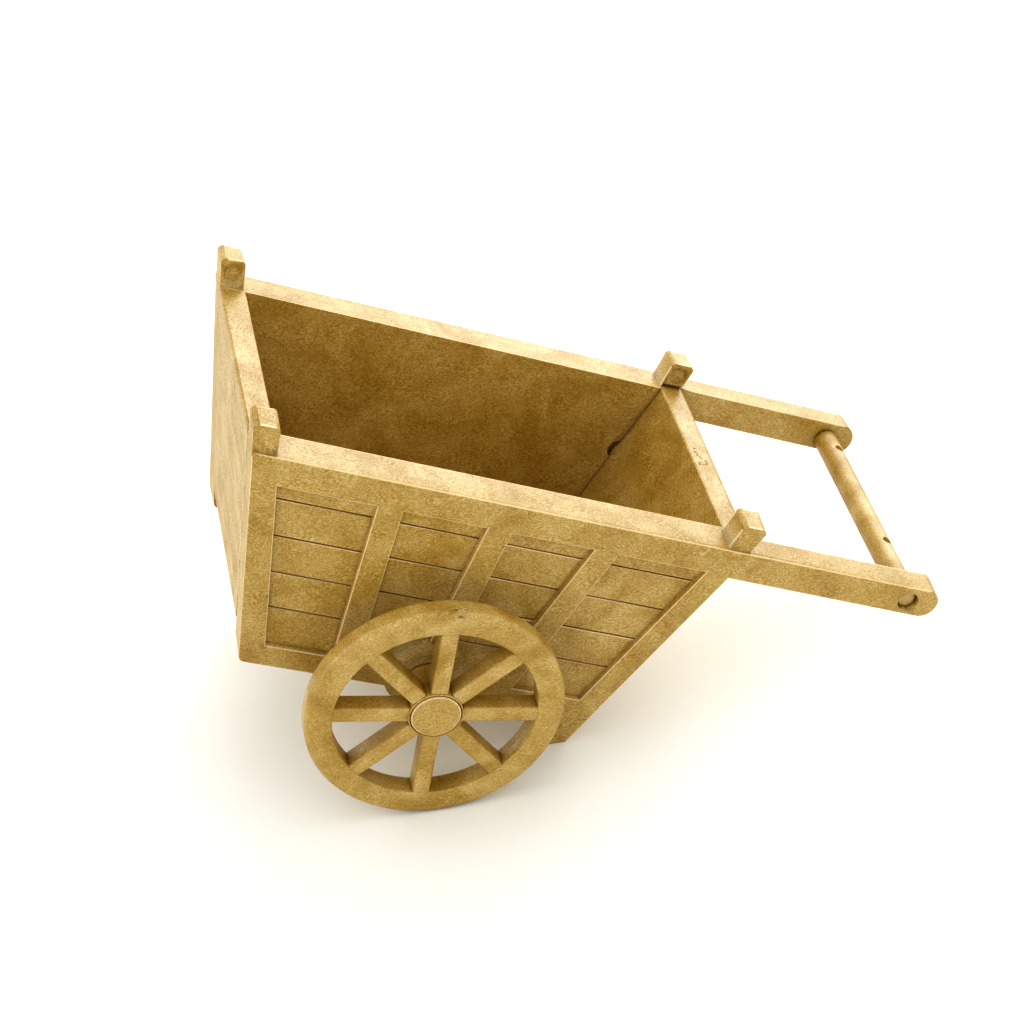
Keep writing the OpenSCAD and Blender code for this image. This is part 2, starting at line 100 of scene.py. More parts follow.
class CartSizes(bpy.types.PropertyGroup):
    panel_edge: a_size("Panel edge", "Width of the softened edges of the side panels", 0.16)
    post_edge: a_size("Post edge", "Width of the softened edges of the corner posts", 0.38)
    board_edge: a_size("Board edge", "Width of the softened edges of the boards and floor", 0.18)
    pin_edge: a_size("Pin edge", "Width of the softened edges of the pins and the grip bar", 0.08)
    rim_width: a_size("Rim width", "Width of the rim, from its tread to its inner wall", 4.4, 0.5)
    rim_round: a_size("Rim rounding", "Radius of the rim's outer edges", 1.0, 0.1)
    wheel_thickness: a_size("Wheel thickness", "Thickness of the rim and the hub", 3.9, 1.0)
    hub_width: a_size("Hub diameter", "Diameter of the hub in the wheel's face", 8.9, 2.0)
    barrel_width: a_size("Barrel diameter", "Diameter of the hub's inner barrel", 7.6, 2.0)
    bore_width: a_size("Bore diameter", "Diameter of the bore that turns on the pin", 3.62, 0.5)
    recess_width: a_size("Recess diameter", "Diameter of the recess round the pin's head", 8.4, 1.0)
    recess_depth: a_size("Recess depth", "Depth of the recess round the pin's head", 1.2, 0.1)
    spoke_count: IntProperty(
        name="Spokes", description="Number of spokes in a wheel", default=8, min=2, max=24)
    spoke_width: a_size("Spoke width", "Width of a spoke across the wheel's face", 2.8, 0.2)
    spoke_sunk: a_size("Spoke sunk", "How far the spokes lie below the rim's faces", 0.2)
    spoke_round: a_size("Spoke rounding", "Radius of a spoke's long edges", 0.45, 0.05)
    wheel_turn: FloatProperty(
        name="Wheel turn", description="Angle of the first spoke above level",
        default=math.radians(-11.6), subtype="ANGLE")


class CartColours(bpy.types.PropertyGroup):
    light: a_colour("Light tan", "Palest tone of the marbled resin", (0.58, 0.43, 0.19))
    middle: a_colour("Honey", "Main tone of the marbled resin", (0.385, 0.243, 0.027))
    dark: a_colour("Dark honey", "Darkest tone of the marbled resin", (0.235, 0.115, 0.001))
    # edge: a painted highlight along the rounded edges
    edge: a_colour("Painted edge highlight", "Tone of the painted highlight on the rounded edges", (0.78, 0.60, 0.32))
    fleck: a_colour("Fleck", "Tone of the fine pale flecks", (0.62, 0.48, 0.27))
    # crevice: painted shade in the joints, corners and pockets
    painted_shade: a_colour("Painted shade", "Painted shade in the joints, corners and pockets", (0.16, 0.07, 0.003))


class CartStage(bpy.types.PropertyGroup):
    floor: a_colour("Floor", "Colour of the floor", (0.88, 0.88, 0.83))
    surround: a_power("Surround", "Strength of the even light all round", 0.93)
    key: a_power("Key light", "Power of the large light behind and above", 2.2)
    fill: a_power("Fill light", "Power of the soft light at the front board's side", 1.2)
    sheen: a_power("Sheen light", "Power of the low light that glances off the top faces", 3.4)
    lens: FloatProperty(
        name="Lens", description="Focal length of the camera", default=86.258, min=10.0,
        unit="CAMERA")


# ---------------------------------------------------------------- node helpers

def wire(tree, source, target):
    tree.links.new(source, target)


def add(tree, kind, place=(0, 0), values=None, **settings):
    """Adds a node with its settings, and gives its named or numbered inputs their values."""
    node = tree.nodes.new(kind)
    node.location = place
    for name, value in settings.items():
        setattr(node, name, value)
    for name, value in (values or {}).items():
        node.inputs[name].default_value = value
    return node


def sockets(tree, way, *rows):
    """Opens a tree's inputs or outputs, each a name, a kind and, where it has one, a value."""
    for name, kind, *value in rows:
        socket = tree.interface.new_socket(name=name, in_out=way, socket_type="NodeSocket" + kind)
        if value:
            socket.default_value = value[0]


def ramp(tree, place, *stops):
    """A colour ramp with its stops, each a place and a grey level."""
    node = add(tree, "ShaderNodeValToRGB", place)
    elements = node.color_ramp.elements
    while len(elements) > len(stops):
        elements.remove(elements[-1])
    while len(elements) < len(stops):
        elements.new(1.0)
    for element, (at, level) in zip(elements, stops):
        element.position = at
        element.color = (level, level, level, 1.0)
    return node


def tint(tree, place, colour, under, factor):
    """Lays a colour over another node's colour output, by a factor."""
    node = add(tree, "ShaderNodeMix", place, {"B": (*colour, 1.0)}, data_type="RGBA")
    wire(tree, factor, node.inputs["Factor"])
    wire(tree, under, node.inputs["A"])
    return node


def swirl_group():
    """The short fibrous swirl of the moulded resin, with a slow marbling under it."""
    tree = bpy.data.node_groups.new(SWIRL, "ShaderNodeTree")
    sockets(tree, "INPUT", ("Vector", "Vector"), ("Swirl size", "Float", 1.0),
            ("Marbling size", "Float", 0.16), ("Swirl strength", "Float", 0.5))
    sockets(tree, "OUTPUT", ("Tone", "Float"), ("Height", "Float"))
    into = add(tree, "NodeGroupInput", (-1200, 0))
    out = add(tree, "NodeGroupOutput", (700, 0))

    warp = add(tree, "ShaderNodeTexNoise", (-1000, 260), {"Scale": 0.2, "Detail": 1.0})
    wire(tree, into.outputs["Vector"], warp.inputs["Vector"])
    centred = add(tree, "ShaderNodeVectorMath", (-820, 260), {1: (0.5, 0.5, 0.5)},
                  operation="SUBTRACT")
    wire(tree, warp.outputs["Color"], centred.inputs[0])
    spread = add(tree, "ShaderNodeVectorMath", (-650, 260), {"Scale": 5.0}, operation="SCALE")
    wire(tree, centred.outputs["Vector"], spread.inputs[0])
    moved = add(tree, "ShaderNodeVectorMath", (-480, 180), operation="ADD")
    wire(tree, into.outputs["Vector"], moved.inputs[0])
    wire(tree, spread.outputs["Vector"], moved.inputs[1])

    stretched = add(tree, "ShaderNodeMapping", (-300, 180),
                    {"Rotation": (0.5, 0.7, 0.4), "Scale": (0.3, 1.2, 1.0)})
    wire(tree, moved.outputs["Vector"], stretched.inputs["Vector"])
    fibre = add(tree, "ShaderNodeTexNoise", (-100, 240),
                {"Detail": 3.0, "Roughness": 0.6, "Distortion": 0.25})
    wire(tree, stretched.outputs["Vector"], fibre.inputs["Vector"])
    wire(tree, into.outputs["Swirl size"], fibre.inputs["Scale"])
    marble = add(tree, "ShaderNodeTexNoise", (-100, -120),
                 {"Detail": 4.0, "Roughness": 0.5, "Distortion": 0.8})
    wire(tree, into.outputs["Vector"], marble.inputs["Vector"])
    wire(tree, into.outputs["Marbling size"], marble.inputs["Scale"])

    fibre_steps = ramp(tree, (100, 240), (0.42, 0.0), (0.5, 0.5), (0.58, 1.0))
    marble_steps = ramp(tree, (100, -120), (0.32, 0.12), (0.5, 0.55), (0.67, 0.92))
    wire(tree, fibre.outputs["Fac"], fibre_steps.inputs["Fac"])
    wire(tree, marble.outputs["Fac"], marble_steps.inputs["Fac"])
    blend = add(tree, "ShaderNodeMix", (420, 60), data_type="FLOAT")
    wire(tree, into.outputs["Swirl strength"], blend.inputs["Factor"])
    wire(tree, marble_steps.outputs["Color"], blend.inputs["A"])
    wire(tree, fibre_steps.outputs["Color"], blend.inputs["B"])
    wire(tree, blend.outputs["Result"], out.inputs["Tone"])
    wire(tree, fibre.outputs["Fac"], out.inputs["Height"])


def fleck_group():
    """Fine pale flecks and pits scattered through the moulded skin."""
    tree = bpy.data.node_groups.new(FLECKS, "ShaderNodeTree")
    sockets(tree, "INPUT", ("Vector", "Vector"), ("Fleck size", "Float", 3.2),
            ("Amount", "Float", 0.5))
    sockets(tree, "OUTPUT", ("Mask", "Float"), ("Height", "Float"))
    into = add(tree, "NodeGroupInput", (-800, 0))
    out = add(tree, "NodeGroupOutput", (500, 0))
    grit = add(tree, "ShaderNodeTexNoise", (-600, 100), {"Detail": 3.0, "Roughness": 0.7})
    wire(tree, into.outputs["Vector"], grit.inputs["Vector"])
    wire(tree, into.outputs["Fleck size"], grit.inputs["Scale"])
    gate = ramp(tree, (-380, 100), (0.53, 0.0), (0.68, 1.0))
    wire(tree, grit.outputs["Fac"], gate.inputs["Fac"])
    patch = add(tree, "ShaderNodeTexNoise", (-600, -180), {"Scale": 0.32, "Detail": 2.0})
    wire(tree, into.outputs["Vector"], patch.inputs["Vector"])
    patch_gate = ramp(tree, (-380, -180), (0.35, 0.25), (0.65, 1.0))
    wire(tree, patch.outputs["Fac"], patch_gate.inputs["Fac"])
    both = add(tree, "ShaderNodeMath", (-80, 0), operation="MULTIPLY")
    wire(tree, gate.outputs["Color"], both.inputs[0])
    wire(tree, patch_gate.outputs["Color"], both.inputs[1])
    scaled = add(tree, "ShaderNodeMath", (140, 0), operation="MULTIPLY")
    wire(tree, both.outputs["Value"], scaled.inputs[0])
    wire(tree, into.outputs["Amount"], scaled.inputs[1])
    wire(tree, scaled.outputs["Value"], out.inputs["Mask"])
    wire(tree, grit.outputs["Fac"], out.inputs["Height"])


def resin_colour(tree, tone, mask, darker):
    """Runs the resin from dark honey to light tan, then adds flecks, a painted highlight on the
    rounded edges and painted shade in the joints, corners and pockets.
    """
    colours = bpy.context.scene.cart_colours
    low = add(tree, "ShaderNodeMapRange", (-440, 320), {"From Min": 0.0, "From Max": 0.5 + darker})
    high = add(tree, "ShaderNodeMapRange", (-440, 60),
               {"From Min": 0.5 + darker, "From Max": 1.0 + darker})
    for step in (low, high):
        wire(tree, tone, step.inputs["Value"])
    first = add(tree, "ShaderNodeMix", (-220, 280),
                {"A": (*colours.dark, 1.0), "B": (*colours.middle, 1.0)}, data_type="RGBA")
    wire(tree, low.outputs["Result"], first.inputs["Factor"])
    second = tint(tree, (0, 240), colours.light, first.outputs["Result"], high.outputs["Result"])
    flecked = tint(tree, (220, 200), colours.fleck, second.outputs["Result"], mask)

    # painted highlight on the rounded edges, stronger where the resin is paler
    edge = add(tree, "ShaderNodeAttribute", (0, -60), attribute_name=EDGE_HIGHLIGHT)
    lifted = add(tree, "ShaderNodeMapRange", (0, -220), {"To Min": 0.55})
    edge_highlight_amount = add(tree, "ShaderNodeMath", (220, -40), operation="MULTIPLY")
    wire(tree, tone, lifted.inputs["Value"])
    wire(tree, edge.outputs["Fac"], edge_highlight_amount.inputs[0])
    wire(tree, lifted.outputs["Result"], edge_highlight_amount.inputs[1])
    highlighted = tint(tree, (440, 160), colours.edge, flecked.outputs["Result"],
                 edge_highlight_amount.outputs["Value"])

    # painted shade: an occlusion mask darkens the joints, corners and pockets
    occlusion = add(tree, "ShaderNodeAmbientOcclusion", (220, 420), {"Distance": 1.3 * MM}, samples=8)
    depth = ramp(tree, (400, 420), (0.3, 0.7), (0.6, 0.25), (0.85, 0.0))
    wire(tree, occlusion.outputs["AO"], depth.inputs["Fac"])
    shaded = tint(tree, (640, 240), colours.painted_shade, highlighted.outputs["Result"],
                  depth.outputs["Color"])
    return shaded.outputs["Result"]


def resin(name, turn=(0.0, 0.0, 0.0), swirl=6.0, strength=0.55, flecks=0.3, darker=0.0,
          roughness=0.42):
    """A marbled honey resin for one kind of piece; its pattern is laid out in millimetres."""
    material = bpy.data.materials.new(name)
    material.use_nodes = True
    tree = material.node_tree
    tree.nodes.clear()
    out = add(tree, "ShaderNodeOutputMaterial", (1100, 0))
    shader = add(tree, "ShaderNodeBsdfPrincipled", (800, 0), {
        "IOR": 1.49, "Specular IOR Level": 0.75, "Subsurface Weight": 0.12,
        "Subsurface Radius": (1.0, 0.45, 0.12), "Subsurface Scale": 1.2 * MM})
    wire(tree, shader.outputs["BSDF"], out.inputs["Surface"])
    where = add(tree, "ShaderNodeTexCoord", (-1100, 0))
    laid = add(tree, "ShaderNodeMapping", (-920, 0),
               {"Scale": (1 / MM, 1 / MM, 1 / MM), "Rotation": turn})
    wire(tree, where.outputs["Object"], laid.inputs["Vector"])

    swirls = add(tree, "ShaderNodeGroup", (-660, 160), {
        "Swirl size": swirl, "Marbling size": 0.13, "Swirl strength": strength},
        node_tree=bpy.data.node_groups[SWIRL])
    specks = add(tree, "ShaderNodeGroup", (-660, -120), {"Amount": flecks},
                 node_tree=bpy.data.node_groups[FLECKS])
    for pattern in (swirls, specks):
        wire(tree, laid.outputs["Vector"], pattern.inputs["Vector"])
    tone = swirls.outputs["Tone"]
    wire(tree, resin_colour(tree, tone, specks.outputs["Mask"], darker),
         shader.inputs["Base Color"])

    gloss = add(tree, "ShaderNodeMapRange", (440, -120),
                {"To Min": roughness + 0.10, "To Max": roughness - 0.06})
    wire(tree, tone, gloss.inputs["Value"])
    wire(tree, gloss.outputs["Result"], shader.inputs["Roughness"])

    mixed = add(tree, "ShaderNodeMix", (220, -320), {"Factor": 0.4}, data_type="FLOAT")
    wire(tree, swirls.outputs["Height"], mixed.inputs["A"])
    wire(tree, specks.outputs["Height"], mixed.inputs["B"])
    bump = add(tree, "ShaderNodeBump", (520, -320), {"Strength": 0.3, "Distance": 0.08 * MM})
    wire(tree, mixed.outputs["Result"], bump.inputs["Height"])
    wire(tree, bump.outputs["Normal"], shader.inputs["Normal"])
    return material


FINISHES = {
    "side_panels": dict(flecks=0.4),
    "end_boards": dict(turn=(0.0, 0.0, 1.57)),
    "floor": dict(swirl=6.4, strength=0.35, flecks=0.2, darker=0.05),
    "wheels": dict(turn=(1.2, 0.3, 0.0), swirl=6.4, strength=0.45, flecks=0.4),
    "wheel_pins": dict(turn=(0.4, 1.0, 0.0), swirl=6.4, strength=0.5),
    "grip_bar": dict(turn=(0.0, 0.0, 1.57), strength=0.4, roughness=0.38),
}


def finish_of(slot_name):
    """The material of one slot of the record, made the first time that it is asked for."""
    made = bpy.data.materials.get("resin_" + slot_name)
    if made:
        return made
    if SWIRL not in bpy.data.node_groups:
        swirl_group()
        fleck_group()
    return resin("resin_" + slot_name, **FINISHES[slot_name])


# ---------------------------------------------------------------- mesh helpers

def smoothed(mesh, angle=38.0):
    for face in mesh.polygons:
        face.use_smooth = True
    mesh.set_sharp_from_angle(angle=math.radians(angle))


def show(name, mesh, slot_name):
    piece = bpy.data.objects.new(name, mesh)
    bpy.context.scene.collection.objects.link(piece)
    mesh.materials.clear()
    mesh.materials.append(finish_of(slot_name))
    return piece


def settled(piece):
    """Turns the piece's modifiers into plain mesh and removes them."""
    view = bpy.context.evaluated_depsgraph_get()
    mesh = bpy.data.meshes.new_from_object(
        piece.evaluated_get(view), preserve_all_data_layers=True, depsgraph=view)
    piece.modifiers.clear()
    old = piece.data
    piece.data = mesh
    mesh.name = piece.name
    bpy.data.meshes.remove(old)
    return piece


def hand_over(piece, body, slot_name, *nodes):
    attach(piece, body)
    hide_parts(*nodes)


def above_rails(edge):
    """Whether an edge belongs to a corner post's top, above the pitched rails."""
    middle = (edge.verts[0].co + edge.verts[1].co) / 2
    rail = (RAIL_Z - RAIL_SLOPE * (middle.x / MM - RAIL_X)) * MM
    return middle.z > rail + POST_RISE


def can_soften(edge, bevel_highlight, shortest, thinnest):
    """Whether an edge is outward, not yet rounded, sharp and long, with wide enough faces."""
    if len(edge.link_faces) != 2 or not edge.is_convex or edge.link_faces[0][bevel_highlight]:
        return False
    if edge.calc_face_angle() < SHARP or edge.calc_length() < shortest:
        return False
    narrowest = min(face.calc_area() for face in edge.link_faces) / edge.calc_length()
    return narrowest >= thinnest * 0.5


def softened(node, slot_name, width, shortest=0.9 * MM, thinnest=0.42 * MM, posts=0.0):
    """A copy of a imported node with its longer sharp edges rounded; plank joints stay crisp."""
    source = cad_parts.get(node)
    if source is None:
        raise RuntimeError("The packed frame has no node called " + node)
    shape = bmesh.new()
    shape.from_mesh(source.data)
    bevel_highlight = shape.faces.layers.float.new(EDGE_HIGHLIGHT)
    bmesh.ops.remove_doubles(shape, verts=shape.verts, dist=0.0015 * MM)
    bmesh.ops.dissolve_limit(shape, angle_limit=math.radians(0.7), verts=shape.verts,
                             edges=shape.edges, delimit=set())
    for on_posts in ((True, False) if posts else (False,)):
        chosen = [edge for edge in shape.edges if can_soften(edge, bevel_highlight, shortest, thinnest)
                  and on_posts == (posts > 0 and above_rails(edge))]
        result = bmesh.ops.bevel(
            shape, geom=chosen, offset=posts if on_posts else width, offset_type="OFFSET",
            segments=3 if on_posts else 2, profile=0.5 if on_posts else 0.6, affect="EDGES",
            clamp_overlap=False)
        # the rounded faces are marked for the painted edge highlight
        for face in result["faces"]:
            face[bevel_highlight] = 1.0
    bmesh.ops.triangulate(shape, faces=shape.faces, quad_method="BEAUTY", ngon_method="BEAUTY")
    name = node + "_soft"
    mesh = bpy.data.meshes.new(name)
    shape.to_mesh(mesh)
    shape.free()
    smoothed(mesh)
    piece = show(name, mesh, slot_name)
    weighted = piece.modifiers.new("Weighted normals", "WEIGHTED_NORMAL")
    weighted.keep_sharp = True
    weighted.weight = 80
    return settled(piece)


def rounded_loop(points, steps=CORNER_STEPS):
    """Closed outline of (radius, height, rounding) corners with each corner turned to an arc."""
    outline = []
    for i, (across, up, radius) in enumerate(points):
        here = Vector((across, up))
        before = (Vector(points[i - 1][:2]) - here).normalized()
        after = (Vector(points[(i + 1) % len(points)][:2]) - here).normalized()
        if radius <= 0:
            outline.append(here)
            continue
        half = before.angle(after) / 2
        centre = here + (before + after).normalized() * (radius / math.sin(half))
        start = here + before * (radius / math.tan(half)) - centre
        end = here + after * (radius / math.tan(half)) - centre
        sweep = start.angle_signed(end)
        for step in range(steps + 1):
            outline.append(centre + Matrix.Rotation(-sweep * step / steps, 2) @ start)
    return outline


def turned(shape, outline, count):
    """Adds a closed outline of (radius, height) revolved round the Z axis."""
    rings = []
    for i in range(count):
        angle = 2 * math.pi * i / count
        rings.append([shape.verts.new((p.x * math.cos(angle), p.x * math.sin(angle), p.y))
                      for p in outline])
    size = len(outline)
    for i in range(count):
        a, b = rings[i], rings[(i + 1) % count]
        for j in range(size):
            k = (j + 1) % size
            shape.faces.new((a[j], b[j], b[k], a[k]))


# ---------------------------------------------------------------- wheels

def spoke_tree():
    """Geometry Nodes: one rounded spoke, set round the hub and joined to the rim and hub."""
    tree = bpy.data.node_groups.new(SPOKES, "GeometryNodeTree")
    lengths = ("Spoke width", "Spoke thickness", "Edge radius", "Inner end", "Outer end",
               "Height", "First angle")
    sockets(tree, "INPUT", ("Geometry", "Geometry"), ("Spokes", "Int", 8),
            *((name, "Float") for name in lengths), ("Material", "Material"))
    sockets(tree, "OUTPUT", ("Geometry", "Geometry"))
    into = add(tree, "NodeGroupInput", (-1000, 0))
    out = add(tree, "NodeGroupOutput", (1200, 0))

    start = add(tree, "ShaderNodeCombineXYZ", (-780, 260))
    end = add(tree, "ShaderNodeCombineXYZ", (-780, 120))
    line = add(tree, "GeometryNodeCurvePrimitiveLine", (-580, 220))
    parts = add(tree, "GeometryNodeResampleCurve", (-400, 220), {"Count": SPOKE_PARTS})
    section = add(tree, "GeometryNodeCurvePrimitiveQuadrilateral", (-780, -100))
    fillet = add(tree, "GeometryNodeFilletCurve", (-580, -100),
                 {"Count": CORNER_STEPS, "Limit Radius": True}, mode="POLY")
    bar = add(tree, "GeometryNodeCurveToMesh", (-200, 120), {"Fill Caps": True})
    points = add(tree, "GeometryNodePoints", (-200, -160))
    index = add(tree, "GeometryNodeInputIndex", (-400, -420))
    share = add(tree, "ShaderNodeMath", (-200, -420), operation="DIVIDE")
    turn = add(tree, "ShaderNodeMath", (0, -420), {1: 2 * math.pi}, operation="MULTIPLY_ADD")
    facing = add(tree, "ShaderNodeCombineXYZ", (180, -420))
    set_round = add(tree, "GeometryNodeInstanceOnPoints", (380, 0))
    joined = add(tree, "GeometryNodeJoinGeometry", (580, 0))
    real = add(tree, "GeometryNodeRealizeInstances", (780, 0))
    dressed = add(tree, "GeometryNodeSetMaterial", (980, 0))
    for source, leaves, target, enters in (
            (into, "Inner end", start, "X"), (into, "Height", start, "Z"),
            (into, "Outer end", end, "X"), (into, "Height", end, "Z"),
            (start, "Vector", line, "Start"), (end, "Vector", line, "End"),
            (line, "Curve", parts, "Curve"),
            (into, "Spoke width", section, "Width"), (into, "Spoke thickness", section, "Height"),
            (section, "Curve", fillet, "Curve"), (into, "Edge radius", fillet, "Radius"),
            (parts, "Curve", bar, "Curve"), (fillet, "Curve", bar, "Profile Curve"),
            (into, "Spokes", points, "Count"),
            (index, "Index", share, 0), (into, "Spokes", share, 1),
            (share, "Value", turn, 0), (into, "First angle", turn, 2),
            (turn, "Value", facing, "Z"),
            (points, 0, set_round, "Points"), (bar, "Mesh", set_round, "Instance"),
            (facing, "Vector", set_round, "Rotation"),
            (set_round, "Instances", joined, "Geometry"), (into, "Geometry", joined, "Geometry"),
            (joined, "Geometry", real, "Geometry"), (real, "Geometry", dressed, "Geometry"),
            (into, "Material", dressed, "Material"), (dressed, "Geometry", out, "Geometry")):
        wire(tree, source.outputs[leaves], target.inputs[enters])
    return tree


def set_inputs(modifier, **values):
    """Sets a node tree's inputs by their identifiers, found from their names."""
    named = {item.name: item.identifier for item in modifier.node_group.interface.items_tree
             if item.item_type == "SOCKET" and item.in_out == "INPUT"}
    for key, value in values.items():
        name = key.replace("_", " ").capitalize()
        if name not in named:
            raise RuntimeError("The wheel's node tree has no input called " + name)
        modifier[named[name]] = value


def gate_scar(shape, centre, out, along, length, width, seed):
    """Adds a patch of torn crumbs where the moulding was cut from its runner."""
    pick = random.Random(seed)
    across = out.cross(along).normalized()
    for crumb in range(CRUMBS):
        spot = (centre + along * (length * pick.uniform(-0.5, 0.5))
                + across * (width * pick.uniform(-0.5, 0.5)) - out * CRUMB_SUNK)
        size = [pick.uniform(low, high) * MM
                for low, high in ((0.2, 0.5), (0.16, 0.36), (0.12, 0.2))]
        shift = Vector([pick.uniform(0.0, 40.0) for axis in range(3)])
        lump = bmesh.ops.create_icosphere(shape, subdivisions=2, radius=1.0)
        for vert in lump["verts"]:
            p = vert.co.copy()
            rough = 1.0 + 0.5 * noise.noise(p * 2.3 + shift)
            vert.co = spot + (along * (p.x * size[0]) + across * (p.y * size[1])
                              + out * (p.z * size[2])) * rough


def scar_on_crest(piece, towards, along, length, width, seed):
    """Puts a gate scar where a line from outside, against towards, meets the piece's top edge."""
    shape = bmesh.new()
    shape.from_mesh(piece.data)
    tree = BVHTree.FromBMesh(shape)
    low_side = max(vert.co.z for vert in shape.verts) - CREST
    crest = [vert.co.x for vert in shape.verts if vert.co.z > low_side]
    top = Vector((sum(crest) / len(crest), 0.0, low_side))
    hit, normal = tree.ray_cast(top + towards * AWAY, -towards)[:2]
    if hit is None:
        shape.free()
        raise RuntimeError("No surface was found for the gate scar of " + piece.name)
    gate_scar(shape, hit, normal, along, length, width, seed)
    shape.to_mesh(piece.data)
    shape.free()
    smoothed(piece.data)


def rim_and_hub(name, radius, inner, barrel):
    """The rim and hub turned round the Z axis, with the wheel's outer face at the top."""
    sizes = bpy.context.scene.cart_sizes
    thick = sizes.wheel_thickness
    hub, boss = sizes.hub_width / 2, sizes.barrel_width / 2
    bore, recess = sizes.bore_width / 2, sizes.recess_width / 2
    seat = thick - sizes.recess_depth
    shape = bmesh.new()
    turned(shape, rounded_loop([
        (radius, 0, sizes.rim_round), (radius, thick, sizes.rim_round),
        (inner, thick, RIM_INNER_ROUND), (inner, 0, RIM_INNER_ROUND)]), RIM_STEPS)
    turned(shape, rounded_loop([
        (bore, -barrel, 0.1 * MM), (boss, -barrel, 0.3 * MM), (boss, 0, 0),
        (hub, 0, 0.12 * MM), (hub, thick, 0.12 * MM), (recess, thick, 0.1 * MM),
        (recess, seat, 0), (bore, seat, 0.08 * MM)], steps=3), HUB_STEPS)
    bmesh.ops.recalc_face_normals(shape, faces=shape.faces)
    mesh = bpy.data.meshes.new(name)
    shape.to_mesh(mesh)
    shape.free()
    return mesh


def scar_rim(shape, centre, radius, face_y, side):
    """Puts a gate scar on the rounded outer shoulder of a rim, and nothing past its face."""
    big = bpy.context.scene.cart_sizes.rim_round
    outwards = Vector((math.cos(SCAR_PLACE), 0, math.sin(SCAR_PLACE)))
    shoulder = (outwards * 0.8 + Vector((0, side * 0.6, 0))).normalized()
    spot = centre + outwards * (radius - big) + shoulder * big
    spot.y = face_y - side * big + shoulder.y * big
    gate_scar(shape, spot, shoulder, outwards.cross(Vector((0, side, 0))), 2.4 * MM, 1.7 * MM, 5)
    for vert in shape.verts:
        if vert.co.y * side > face_y * side:
            vert.co.y = face_y


def build_wheel(node, side):
    """One wheel in its packed place; side is -1 for the left wheel and 1 for the right."""
    sizes = bpy.context.scene.cart_sizes
    low, high = (Vector(corner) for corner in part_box(node))
    centre = (low + high) / 2
    radius = (high.x - low.x) / 2
    thick = sizes.wheel_thickness
    inner = radius - sizes.rim_width
    mesh = rim_and_hub(node + "_turned", radius, inner, barrel=(high.y - low.y) - thick)
    wheel = show(node + "_spoked", mesh, "wheels")

    modifier = wheel.modifiers.new("Spokes", "NODES")
    modifier.node_group = bpy.data.node_groups.get(SPOKES) or spoke_tree()
    set_inputs(
        modifier, spokes=sizes.spoke_count, spoke_width=sizes.spoke_width,
        spoke_thickness=thick - 2 * sizes.spoke_sunk, edge_radius=sizes.spoke_round,
        inner_end=(sizes.hub_width + sizes.recess_width) / 4 + 0.05 * MM,
        outer_end=inner + 0.6 * MM, height=thick / 2, first_angle=sizes.wheel_turn,
        material=finish_of("wheels"))
    settled(wheel)

    # local X stays X, local Y becomes Z and local Z points away from the cart
    face_y = low.y if side < 0 else high.y
    place = Matrix((
        (1, 0, 0, centre.x),
        (0, 0, side, face_y - side * thick),
        (0, 1, 0, centre.z),
        (0, 0, 0, 1)))
    shape = bmesh.new()
    shape.from_mesh(wheel.data)
    bmesh.ops.transform(shape, matrix=place, verts=shape.verts)
    bmesh.ops.remove_doubles(shape, verts=shape.verts, dist=0.001 * MM)
    bmesh.ops.recalc_face_normals(shape, faces=shape.faces)
    scar_rim(shape, centre, radius, face_y, side)
    bmesh.ops.triangulate(shape, faces=shape.faces)
    shape.to_mesh(wheel.data)
    shape.free()
    smoothed(wheel.data, 42)
    return wheel


# ---------------------------------------------------------------- operators

class CART_OT_side_panels(bpy.types.Operator):
    """Make the two side panels with softened edges"""
    bl_idname = "cart.side_panels"
    bl_label = "Side Panels"

    def execute(self, context):
        sizes = context.scene.cart_sizes
        for node in ("left_side_panel", "right_side_panel"):
            piece = softened(node, "side_panels", sizes.panel_edge, posts=sizes.post_edge)
            hand_over(piece, "cart", "side_panels", node)
        return {"FINISHED"}


class CART_OT_end_boards(bpy.types.Operator):
    """Make the front and rear boards with softened edges"""
    bl_idname = "cart.end_boards"
    bl_label = "End Boards"

    def execute(self, context):
        for node in ("front_board", "rear_board"):
            piece = softened(node, "end_boards", context.scene.cart_sizes.board_edge)
            if node == "rear_board":
                scar_on_crest(piece, Vector((0.8, 0.0, 0.6)), Vector((0, 1, 0)), 5.0 * MM,
                              1.9 * MM, 11)
            hand_over(piece, "cart", "end_boards", node)
        return {"FINISHED"}


class CART_OT_floor_board(bpy.types.Operator):
    """Make the floor of the box with softened edges"""
    bl_idname = "cart.floor_board"
    bl_label = "Floor Board"

    def execute(self, context):
        piece = softened("floor_board", "floor", context.scene.cart_sizes.board_edge)
        hand_over(piece, "cart", "floor", "floor_board")
        return {"FINISHED"}


class CART_OT_wheels(bpy.types.Operator):
    """Turn the rim and hub of each wheel and set its spokes round the hub"""
    bl_idname = "cart.wheels"
    bl_label = "Wheels"

    def execute(self, context):
        for node, side in (("left_wheel", -1), ("right_wheel", 1)):
            hand_over(build_wheel(node, side), node, "wheels", node)
        return {"FINISHED"}


class CART_OT_wheel_pins(bpy.types.Operator):
    """Make the two pins that the wheels turn on"""
    bl_idname = "cart.wheel_pins"
    bl_label = "Wheel Pins"

    def execute(self, context):
        for node in ("left_wheel_pin", "right_wheel_pin"):
            piece = softened(node, "wheel_pins", context.scene.cart_sizes.pin_edge,
                             shortest=0.05 * MM, thinnest=0.0)
            hand_over(piece, "cart", "wheel_pins", node)
        return {"FINISHED"}


class CART_OT_grip_bar(bpy.types.Operator):
    """Make the round grip bar between the handles"""
    bl_idname = "cart.grip_bar"
    bl_label = "Grip Bar"

    def execute(self, context):
        piece = softened("grip_bar", "grip_bar", context.scene.cart_sizes.pin_edge,
                         shortest=0.02 * MM, thinnest=0.0)
        hand_over(piece, "grip_bar", "grip_bar", "grip_bar")
        return {"FINISHED"}


